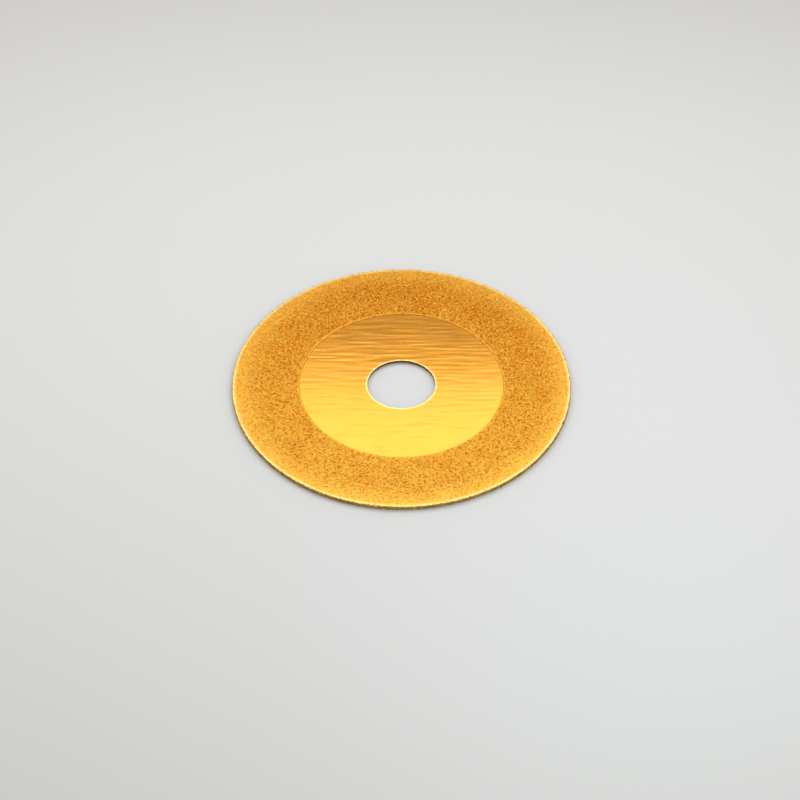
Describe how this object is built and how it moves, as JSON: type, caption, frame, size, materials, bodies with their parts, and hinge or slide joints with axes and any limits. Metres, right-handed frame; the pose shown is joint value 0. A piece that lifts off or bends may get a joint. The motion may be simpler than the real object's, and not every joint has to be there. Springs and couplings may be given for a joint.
{
  "type": "diamond blade",
  "caption": "Thin round blade with a plain arbor bore, a smooth clamping face and one layer of diamond grit plated on both faces and round the rim.",
  "frame": {"origin": "centre of the arbor bore, at mid thickness", "axes": "+Z along the spin axis, out of the front face; X and Y lie in the blade's plane"},
  "size_m": [0.1, 0.1, 0.0016],
  "materials": {
    "core_steel": "satin gold-coloured nitride on brushed steel",
    "nickel_bond": "matte gold-coloured nitride on rough nickel",
    "diamond_grit": "gold-coloured nitride on sharp grit"
  },
  "bodies": {
    "root": {"steel_core": "core_steel", "bond_front": "nickel_bond", "bond_back": "nickel_bond", "bond_rim": "nickel_bond", "grit_front": "diamond_grit", "grit_back": "diamond_grit", "grit_rim": "diamond_grit"}
  },
  "joints": []
}
